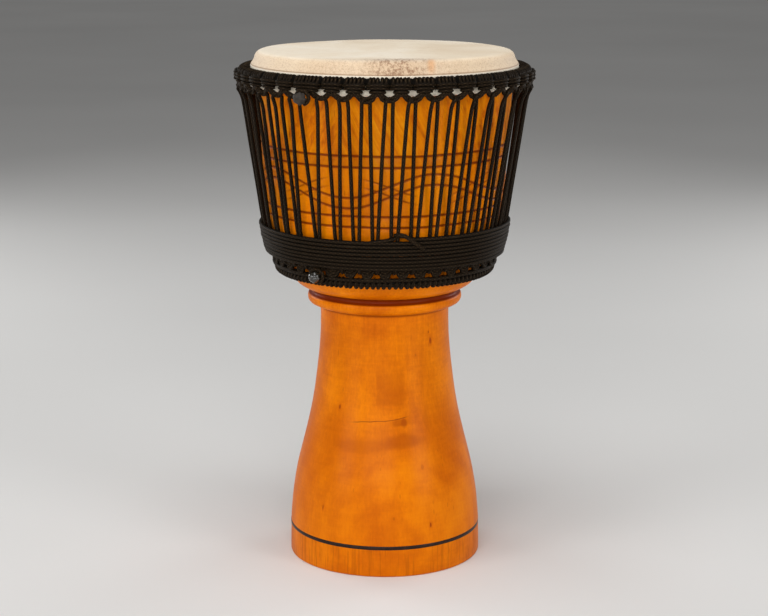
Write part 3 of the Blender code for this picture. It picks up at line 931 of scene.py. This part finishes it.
def crown():
    """Close turns round the ring between the loops, level stretches over them, and the loops' own cord."""
    strands = Strands()
    for start, centre, end in segments(loop_angle):
        half_arc = (end - start) / 2 * CROWN_RING[0]
        wraps = 7 if half_arc > WIDE_GAP else 5
        reach = half_arc - 0.0040
        for distance in np.linspace(-reach, reach, wraps):
            slant = 0.0005 + jitter(0.0002)
            ring_wrap(strands, CROWN_RING, centre, distance + jitter(0.00022),
                      CROWN_ROD + ROPE / 2 + jitter(0.00012), slant, packed=0.9)
        for side in (-0.0014, 0.0014):
            # thin turns in the crevice at each loop, darkened with painted shade
            ring_wrap(strands, CROWN_RING, start, side, CROWN_ROD + 0.0009, 0.0006, steps=12, lift=0.0007,
                      radius=0.0015, deep=CREVICE_SHADE)
        outer = half_arc * BAR_FACE / CROWN_RING[0]
        for side in (-1, 1):
            tuck = [spot(start, side * distance, radius, height, 0.18) for distance, radius, height in TUCKS]
            strands.add(smooth_path(tuck, 0.0022))
        core = outer - 0.0064
        # hidden cords behind the level stretches and over each loop, darkened with painted shade
        strands.add(spot(centre, np.linspace(-core, core, 5), *DARK_CORE), radius=0.0020, deep=CREVICE_SHADE)
        bridge = np.linspace(-0.0062, 0.0062, 5)
        strands.add(spot(start, bridge, *DARK_BRIDGE), radius=0.0018, deep=CREVICE_SHADE)
        for shorter, height in CROWN_BARS:
            height += jitter(0.0002)
            crown_bar(strands, centre + jitter(0.0014), outer - shorter + jitter(0.0003), height)
    strands.add(upper_wave(), closed=True, squeeze=(1.0, 0.94), packed=0.6)
    strands.add(knot_turn(CLOSING_ANGLE, *UPPER_KNOT_TURN))
    return strands.piece("crown_rope")


def knot_turn(angle, radius, height, size):
    """The cord's last turn over a knot, from its left side over the top to its right side."""
    turn = np.radians([200, 165, 125, 90, 55, 20, -15, -45, -70])
    return smooth_path(spot(angle, size * np.cos(turn), radius - 0.0012 * np.abs(np.cos(turn)),
                            height + 0.92 * size * np.sin(turn), radius), 0.0022)


def upper_wave():
    """The cord of the upper loops: a low stretch under each gap and a peak between."""
    points = []
    for start, centre, end in segments(loop_angle):
        half_arc = (end - start) / 2 * 0.1785
        uneven = jitter(0.0004)
        peak = 0.0022 if half_arc < WIDE_GAP else 0.0060
        points += spots([
            (start, -0.0034, 0.1776, 0.5958 + uneven), (start, 0.0034, 0.1776, 0.5958 + uneven),
            (start, 0.0082, 0.1788, 0.5984 + uneven), (centre, -peak, 0.1800, 0.6020),
            (centre, peak, 0.1800, 0.6020), (end, -0.0082, 0.1788, 0.5984 + uneven)])
    return smooth_path(points, 0.0026, closed=True)


def lacing():
    """One endless zigzag: an upper loop, down an inner leg, a lower loop, up an outer leg."""
    points = []
    for index in range(LOOPS):
        upper, lower, following = loop_angle(index), between_loops(index), loop_angle(index + 1)
        stray = jitter(0.0006, 5)
        points += spots([(upper, share * TOP_APART, radius, height) for share, radius, height in UPPER_TURN])
        points += leg(upper, lower, TOP_APART + stray[0], -BAND_APART + stray[1], INNER_LEG)
        points += spots([
            (lower, -LOW_APART - 0.0008, 0.1380, 0.4010), (lower, -LOW_APART, 0.1334, 0.3925),
            (lower, LOW_APART * -0.7, 0.1336, 0.3888),
            (lower, LOW_APART * 0.2, 0.1378, 0.3864 + stray[4] * 0.6),
            (lower, LOW_APART, 0.1415, 0.3896), (lower, LOW_APART + 0.0008, 0.1438, 0.4010)])
        points += leg(following, lower, -TOP_APART + stray[2], BAND_APART + stray[3], OUTER_LEG)[::-1]
    strands = Strands()
    strands.add(smooth_path(points, 0.0040, closed=True), closed=True, packed=0.55)
    return strands.piece("lacing_rope")


def leg(upper, lower, upper_offset, lower_offset, outline):
    """Points down a leg that runs straight, seen from outside, from an upper loop to the winding."""
    high = side_step(upper, 0.1775, upper_offset)
    low = side_step(lower, 0.1500, lower_offset)
    points = []
    for radius, height in outline:
        share = (height - LEG_BOTTOM) / (LEG_TOP - LEG_BOTTOM)
        points.append(polar(radius, low + (high - low) * share, height))
    return points


def route(points):
    """Points given as (radius, degrees, height)."""
    return [polar(radius, math.radians(degrees), height) for radius, degrees, height in points]


def winding():
    """The spare rope, wound down over the legs in close turns, and its lead under the tucked end."""
    strands = Strands()
    steps = int(TURNS * TURN_STEPS)
    turns_left = TURNS - np.linspace(0, TURNS, steps + 1)
    angle = WINDING_END + turns_left * 2 * math.pi
    height = TOP_TURN - turns_left * ROPE + gentle_noise(steps + 1, 40, 0.00016)
    radius = outline_radius(WINDING_OUTER, height) - ROPE / 2 + gentle_noise(steps + 1, 30, 0.00018)
    body = polar(radius, angle, height)
    lead = smooth_path([body[-1]] + route(LEAD), 0.003)
    strands.add(np.vstack([body, lead[1:]]), packed=1.0)
    return strands.piece("wound_rope")


def tail():
    """The rope's end: round a leg, across the gap beside it and down into the turns."""
    strands = Strands()
    strands.add(smooth_path(route(TUCKED_END), 0.0025))
    return strands.piece("tucked_end")


def lower_cradle():
    """Hitches round the ring, two cords along it, and the cord that rises over each loop's gap."""
    strands = Strands()
    for start, middle, end in segments(between_loops):
        half_arc = (end - start) / 2 * LOWER_FACE
        hitches = 4 if half_arc > 0.012 else 3
        spacing = (end - start) * BOTTOM_RING[0] / hitches
        for place in range(hitches):
            distance = (place - (hitches - 1) / 2) * spacing + jitter(0.0006)
            slant = 0.0013 + jitter(0.0003)
            ring_wrap(strands, BOTTOM_RING, middle, distance, BOTTOM_ROD + ROPE / 2, slant, packed=0.6)
        for height, radius, shorter, lean in LOWER_BARS:
            lean += jitter(0.0003)
            half = half_arc - shorter
            path = [spot(middle, half * share, radius - inset, height + lean * share, radius)
                    for share, inset in ((-1, 0.0022), (-0.5, 0.0), (0.5, 0.0), (1, 0.0022))]
            strands.add(smooth_path(path, 0.0026))
    angle = round_angles(360)
    wander = gentle_noise(360, 6, 0.00035, closed=True)
    strands.add(polar(0.1384, angle, 0.3781 + wander), closed=True, packed=0.8)
    # a cord behind the hitches, darkened with painted shade
    strands.add(polar(0.1348, angle, 0.3714 - wander), closed=True, deep=0.6)
    strands.add(lower_wave(), closed=True, packed=0.8)
    strands.add(knot_turn(LOWER_KNOT_ANGLE, *LOWER_KNOT_TURN))
    return strands.piece("lower_cradle")


def lower_wave():
    """The cord of the lower loops: a peak at each loop, under the winding, and a low stretch between."""
    points = []
    for start, middle, end in segments(between_loops):
        uneven = jitter(0.0004)
        points += spots([
            (start, -0.0018, 0.1376, 0.3890), (start, 0.0018, 0.1376, 0.3890),
            (start, 0.0050, 0.1384, 0.3862), (start, 0.0067, 0.1386, 0.3825 + uneven),
            (middle, 0.0, 0.1384, 0.3808 + uneven), (end, -0.0067, 0.1386, 0.3825 + uneven),
            (end, -0.0050, 0.1384, 0.3862)], LOWER_FACE)
    return smooth_path(points, 0.0024, closed=True)


def knot_ball(name, angle, radius, height, size, material, lumps):
    """A cord end knotted on itself and melted to a lumpy ball."""
    rows, columns = 27, 40
    down = math.pi * np.arange(1, rows + 1)[:, None] / (rows + 1)
    around = round_angles(columns)[None, :]
    rings = np.stack([np.sin(down) * np.cos(around), np.sin(down) * np.sin(around),
                      np.cos(down) + 0 * around], axis=-1)
    directions = np.vstack([rings.reshape(-1, 3), [0, 0, 1], [0, 0, -1]])
    x, y, z = directions.T
    bulge = 1 + lumps * (np.sin(6.2 * x + 0.7) * np.cos(4.3 * y + 1.1) + 0.6 * np.sin(6.2 * z + 2.1 * x))
    groove = 0.13 * np.exp(-((z - 0.35 * x + 0.12) / 0.13) ** 2)
    groove += lumps * 0.5 * np.sin(13.0 * z + 7.0 * x) * np.cos(9.0 * y)
    points = directions * [1.0, 0.86, 0.92] * size * (bulge - groove)[:, None]
    cos, sin = math.cos(angle), math.sin(angle)
    points = points @ [[cos, sin, 0], [-sin, cos, 0], [0, 0, 1]] + polar(radius, angle, height)
    return mesh_piece(name, points, capped_faces(rows, columns), material)


# ---- stage

def area_light(name, location, target, size, energy):
    """A soft rectangular lamp that faces a target."""
    light = bpy.data.lights.new(name, "AREA")
    light.shape = "RECTANGLE"
    light.size, light.size_y = size
    light.energy = energy
    made = bpy.data.objects.new(name, light)
    made.location = location
    direction = np.asarray(target, float) - np.asarray(location, float)
    pitch = math.acos(-direction[2] / np.linalg.norm(direction))
    made.rotation_euler = (pitch, 0.0, math.atan2(direction[1], direction[0]) - math.pi / 2)
    bpy.context.scene.collection.objects.link(made)


def stage():
    lens = bpy.data.cameras.new("camera")
    lens.lens = CAMERA_LENS
    lens.sensor_width = 36.0
    lens.clip_end = 100.0
    camera = bpy.data.objects.new("camera", lens)
    camera.location = CAMERA_AT
    camera.rotation_euler = (math.pi / 2 - CAMERA_DOWN, 0.0, 0.0)
    bpy.context.scene.collection.objects.link(camera)
    bpy.context.scene.camera = camera

    side = FLOOR_SIDE
    corners = [(x, y, -FLOOR_DROP) for x, y in ((-side, -side), (side, -side), (side, side), (-side, side))]
    mesh_piece("floor", corners, [(0, 1, 2, 3)], pale_floor())

    world = bpy.data.worlds.new("studio")
    world.use_nodes = True
    background = world.node_tree.nodes["Background"]
    background.inputs["Color"].default_value = (1.0, 1.0, 1.0, 1.0)
    background.inputs["Strength"].default_value = WORLD_STRENGTH
    bpy.context.scene.world = world
    bpy.context.scene.view_settings.view_transform = "Standard"

    for lamp in LAMPS:
        area_light(*lamp)


# ---- the drum

WOOD = lacquered_wood()
INLAY = dark_inlay()
ROPE_MATERIAL = black_rope()
HEAD_SKIN = goat_skin("head_skin", 1.0)
HOOP_SKIN = goat_skin("hoop_skin", 0.0)
STEEL = ring_steel()
MATT_KNOT = melted_rope("matt_knot", 0.70, 0.0, (15, 11, 7), (50, 41, 31))
GLOSSY_KNOT = melted_rope("glossy_knot", 0.24, 0.7, (10, 9, 9), (44, 38, 28))

stage()

# The pieces are made in this order, which is also the order of their random draws
PIECES = [
    (shell(), "root", "shell", "lacquered_wood"),
    (inlay(), "root", "foot_inlay_band", "dark_inlay"),
    (hoop(), "crown", "flesh_hoop", "goat_skin"),
    (crown(), "crown", "upper_cradle_rope", "black_rope"),
    (winding(), "root", "rope_winding", "black_rope"),
    (tail(), "root", "winding_tail", "black_rope"),
    (lower_cradle(), "root", "lower_cradle_rope", "black_rope"),
    (knot_ball("upper_knot", CLOSING_ANGLE, *UPPER_KNOT, MATT_KNOT, 0.10),
     "crown", "upper_cradle_knot", "melted_rope"),
    (knot_ball("lower_knot", LOWER_KNOT_ANGLE, *LOWER_KNOT, GLOSSY_KNOT, 0.03),
     "root", "lower_cradle_knot", "melted_rope"),
]
for piece, body, node, slot in PIECES:
    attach(piece, body)
    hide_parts(node)

skin_head = head()
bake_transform(skin_head)
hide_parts("drumhead")

lacing_rope = lacing()
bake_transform(lacing_rope)
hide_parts("tuning_rope")

for ring in ("crown_ring", "bottom_ring"):
    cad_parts[ring].data.materials.clear()
    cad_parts[ring].data.materials.append(STEEL)
